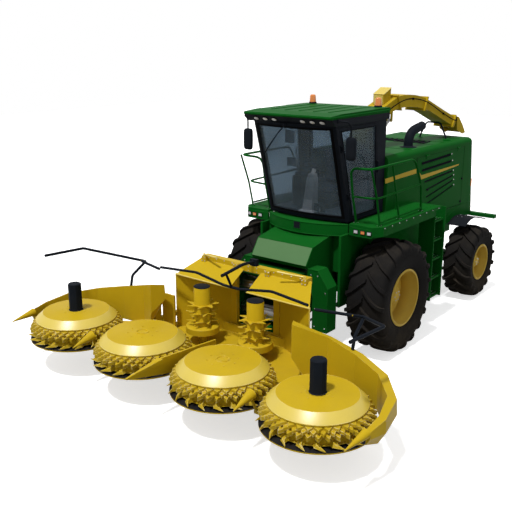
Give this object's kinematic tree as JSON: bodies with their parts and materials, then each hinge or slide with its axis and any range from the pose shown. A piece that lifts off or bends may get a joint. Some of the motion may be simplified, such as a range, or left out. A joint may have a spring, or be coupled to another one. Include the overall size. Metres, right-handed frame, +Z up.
{
  "type": "self-propelled forage harvester",
  "caption": "Self-propelled forage harvester with a folding rotary maize header, steered rear wheels, glazed cab and slewing discharge spout.",
  "frame": {"origin": "on the ground under the middle of the whole machine", "axes": "+X forward, +Y to the machine's left, +Z up"},
  "size_m": [8.77, 6.1518, 4],
  "materials": {
    "green_paint": "gloss",
    "yellow_paint": "gloss",
    "black_paint": "satin",
    "bare_steel": "satin",
    "tyre_rubber": "matt",
    "window_glass": "clear",
    "white_lens": "gloss",
    "amber_lens": "gloss",
    "black_plastic": "matt",
    "seat_cloth": "woven",
    "cast_block": "matt"
  },
  "bodies": {
    "chassis": {"main_frame": "green_paint", "front_axle": "green_paint", "rear_axle_beam": "green_paint", "engine_block": "cast_block", "hood_shell": "green_paint", "hood_grille": "black_paint", "nose_shell": "green_paint", "cab_frame": "black_paint", "cab_glass": "window_glass", "cab_roof": "green_paint", "lamps_white": "white_lens", "lamps_amber": "amber_lens", "mirrors": "black_plastic", "platforms": "green_paint", "handrails": "green_paint", "ladder": "green_paint", "seat": "seat_cloth", "cab_controls": "black_plastic", "rear_fenders": "black_paint", "exhaust": "black_paint", "spout_base": "green_paint"},
    "front_wheel_left": {"front_tyre_left": "tyre_rubber", "front_rim_left": "yellow_paint"},
    "front_wheel_right": {"front_tyre_right": "tyre_rubber", "front_rim_right": "yellow_paint"},
    "rear_knuckle_left": {"rear_knuckle_left": "green_paint"},
    "rear_knuckle_right": {"rear_knuckle_right": "green_paint"},
    "rear_wheel_left": {"rear_tyre_left": "tyre_rubber", "rear_rim_left": "yellow_paint"},
    "rear_wheel_right": {"rear_tyre_right": "tyre_rubber", "rear_rim_right": "yellow_paint"},
    "cab_door": {"door_frame": "black_paint", "door_glass": "window_glass"},
    "side_panel_left": {"side_panel_left": "green_paint"},
    "side_panel_right": {"side_panel_right": "green_paint"},
    "spout_turret": {"spout_turret": "yellow_paint"},
    "spout_arm": {"spout_duct": "yellow_paint"},
    "spout_flap": {"spout_flap": "yellow_paint"},
    "spout_barrel": {"spout_barrel": "black_paint"},
    "spout_rod": {"spout_rod": "bare_steel"},
    "feeder": {"feed_housing": "green_paint", "header_frame": "yellow_paint", "crop_bar": "black_paint"},
    "feed_roll_upper": {"feed_roll_upper": "bare_steel"},
    "feed_roll_lower": {"feed_roll_lower": "bare_steel"},
    "lift_barrels": {"lift_barrels": "black_paint"},
    "lift_rods": {"lift_rods": "bare_steel"},
    "rotor_inner_left": {"rotor_inner_left": "yellow_paint"},
    "rotor_outer_left": {"rotor_outer_left": "yellow_paint"},
    "feed_drum_left": {"feed_drum_left": "yellow_paint"},
    "wing_left": {"wing_left": "yellow_paint"},
    "fold_barrel_left": {"fold_barrel_left": "black_paint"},
    "fold_rod_left": {"fold_rod_left": "bare_steel"},
    "rotor_inner_right": {"rotor_inner_right": "yellow_paint"},
    "rotor_outer_right": {"rotor_outer_right": "yellow_paint"},
    "feed_drum_right": {"feed_drum_right": "yellow_paint"},
    "wing_right": {"wing_right": "yellow_paint"},
    "fold_barrel_right": {"fold_barrel_right": "black_paint"},
    "fold_rod_right": {"fold_rod_right": "bare_steel"}
  },
  "joints": [
    {"name": "front_wheel_left_spin", "type": "hinge", "parent": "chassis", "child": "front_wheel_left", "pos_m": [-0.095, 1.2, 0.9], "axis": [0, 1, 0], "continuous": true},
    {"name": "front_wheel_right_spin", "type": "hinge", "parent": "chassis", "child": "front_wheel_right", "pos_m": [-0.095, -1.2, 0.9], "axis": [0, 1, 0], "continuous": true},
    {"name": "rear_steer_left", "type": "hinge", "parent": "chassis", "child": "rear_knuckle_left", "pos_m": [-3.455, 0.8, 0.69], "axis": [0, 0, 1], "range_deg": [-40, 40]},
    {"name": "rear_wheel_left_spin", "type": "hinge", "parent": "rear_knuckle_left", "child": "rear_wheel_left", "pos_m": [-3.455, 1.105, 0.69], "axis": [0, 1, 0], "continuous": true},
    {"name": "rear_steer_right", "type": "hinge", "parent": "chassis", "child": "rear_knuckle_right", "pos_m": [-3.455, -0.8, 0.69], "axis": [0, 0, 1], "range_deg": [-40, 40]},
    {"name": "rear_wheel_right_spin", "type": "hinge", "parent": "rear_knuckle_right", "child": "rear_wheel_right", "pos_m": [-3.455, -1.105, 0.69], "axis": [0, 1, 0], "continuous": true},
    {"name": "cab_door_swing", "type": "hinge", "parent": "chassis", "child": "cab_door", "pos_m": [0.59971, 0.764, 2.81], "axis": [-0.2832, 0, -0.9591], "range_deg": [0, 22]},
    {"name": "side_panel_left_lift", "type": "hinge", "parent": "chassis", "child": "side_panel_left", "pos_m": [-2.595, 0.815, 2.862], "axis": [1, 0, 0], "range_deg": [0, 75]},
    {"name": "side_panel_right_lift", "type": "hinge", "parent": "chassis", "child": "side_panel_right", "pos_m": [-2.595, -0.815, 2.862], "axis": [-1, 0, 0], "range_deg": [0, 75]},
    {"name": "spout_slew", "type": "hinge", "parent": "chassis", "child": "spout_turret", "pos_m": [-1.175, 0, 3.06], "axis": [0, 0, 1], "range_deg": [-100, 100]},
    {"name": "spout_lift", "type": "hinge", "parent": "spout_turret", "child": "spout_arm", "pos_m": [-0.93714, -0.03195, 3.12], "axis": [0.1331, 0.9911, 0], "range_deg": [0, 30]},
    {"name": "spout_flap_tilt", "type": "hinge", "parent": "spout_arm", "child": "spout_flap", "pos_m": [-3.75186, 0.34612, 3.4], "axis": [0.1331, 0.9911, 0], "range_deg": [0, 45]},
    {"name": "spout_barrel_swing", "type": "hinge", "parent": "spout_turret", "child": "spout_barrel", "pos_m": [-1.47233, 0.03994, 3.085], "axis": [0.1331, 0.9911, 0], "range_deg": [0, 41]},
    {"name": "spout_rod_slide", "type": "slide", "parent": "spout_barrel", "child": "spout_rod", "axis": [-0.7413, 0.0996, 0.6638], "range_m": [0, 0.26]},
    {"name": "header_lift", "type": "hinge", "parent": "chassis", "child": "feeder", "pos_m": [0.255, 0, 1.15], "axis": [0, -1, 0], "range_deg": [-6.5, 3]},
    {"name": "lift_barrel_swing", "type": "hinge", "parent": "chassis", "child": "lift_barrels", "pos_m": [0.135, 0, 0.72], "axis": [0, -1, 0], "range_deg": [-6.3, 2.9]},
    {"name": "lift_rod_slide", "type": "slide", "parent": "lift_barrels", "child": "lift_rods", "axis": [0.998, 0, -0.0629], "range_m": [-0.0502, 0.0232]},
    {"name": "feed_roll_upper_spin", "type": "hinge", "parent": "feeder", "child": "feed_roll_upper", "pos_m": [1.525, 0, 1.19], "axis": [0, 1, 0], "continuous": true},
    {"name": "feed_roll_lower_spin", "type": "hinge", "parent": "feeder", "child": "feed_roll_lower", "pos_m": [1.545, 0, 0.8], "axis": [0, 1, 0], "continuous": true},
    {"name": "rotor_inner_left_spin", "type": "hinge", "parent": "feeder", "child": "rotor_inner_left", "pos_m": [3.399, 0.7446, 0.7], "axis": [0, 0, 1], "continuous": true},
    {"name": "feed_drum_left_spin", "type": "hinge", "parent": "feeder", "child": "feed_drum_left", "pos_m": [2.429, 0.5, 0.9], "axis": [0, 0, 1], "continuous": true},
    {"name": "wing_left_fold", "type": "hinge", "parent": "feeder", "child": "wing_left", "pos_m": [2.405, 1.474, 0.95], "axis": [1, 0, 0], "range_deg": [0, 90]},
    {"name": "rotor_outer_left_spin", "type": "hinge", "parent": "wing_left", "child": "rotor_outer_left", "pos_m": [3.399, 2.2046, 0.7], "axis": [0, 0, 1], "continuous": true},
    {"name": "fold_barrel_left_swing", "type": "hinge", "parent": "feeder", "child": "fold_barrel_left", "pos_m": [1.905, 0.76, 0.65], "axis": [1, 0, 0], "range_deg": [0, 23.5]},
    {"name": "fold_rod_left_slide", "type": "slide", "parent": "fold_barrel_left", "child": "fold_rod_left", "axis": [0, 0.9927, -0.1207], "range_m": [0, 0.407]},
    {"name": "rotor_inner_right_spin", "type": "hinge", "parent": "feeder", "child": "rotor_inner_right", "pos_m": [3.399, -0.7446, 0.7], "axis": [0, 0, 1], "continuous": true},
    {"name": "feed_drum_right_spin", "type": "hinge", "parent": "feeder", "child": "feed_drum_right", "pos_m": [2.429, -0.5, 0.9], "axis": [0, 0, 1], "continuous": true},
    {"name": "wing_right_fold", "type": "hinge", "parent": "feeder", "child": "wing_right", "pos_m": [2.405, -1.474, 0.95], "axis": [-1, 0, 0], "range_deg": [0, 90]},
    {"name": "rotor_outer_right_spin", "type": "hinge", "parent": "wing_right", "child": "rotor_outer_right", "pos_m": [3.399, -2.2046, 0.7], "axis": [0, 0, 1], "continuous": true},
    {"name": "fold_barrel_right_swing", "type": "hinge", "parent": "feeder", "child": "fold_barrel_right", "pos_m": [1.905, -0.76, 0.65], "axis": [-1, 0, 0], "range_deg": [0, 23.5]},
    {"name": "fold_rod_right_slide", "type": "slide", "parent": "fold_barrel_right", "child": "fold_rod_right", "axis": [0, -0.9927, -0.1207], "range_m": [0, 0.407]}
  ],
  "couplings": [
    {"joint": "rear_steer_right", "follows": "rear_steer_left", "ratio": 1},
    {"joint": "spout_barrel_swing", "follows": "spout_lift", "ratio": 1.337},
    {"joint": "spout_rod_slide", "follows": "spout_lift", "m_per_rad": 0.487},
    {"joint": "lift_barrel_swing", "follows": "header_lift", "ratio": 0.935},
    {"joint": "lift_rod_slide", "follows": "header_lift", "m_per_rad": 0.438},
    {"joint": "fold_barrel_left_swing", "follows": "wing_left_fold", "ratio": 0.2598},
    {"joint": "fold_rod_left_slide", "follows": "wing_left_fold", "m_per_rad": 0.2582},
    {"joint": "fold_barrel_right_swing", "follows": "wing_right_fold", "ratio": 0.2598},
    {"joint": "fold_rod_right_slide", "follows": "wing_right_fold", "m_per_rad": 0.2582}
  ]
}
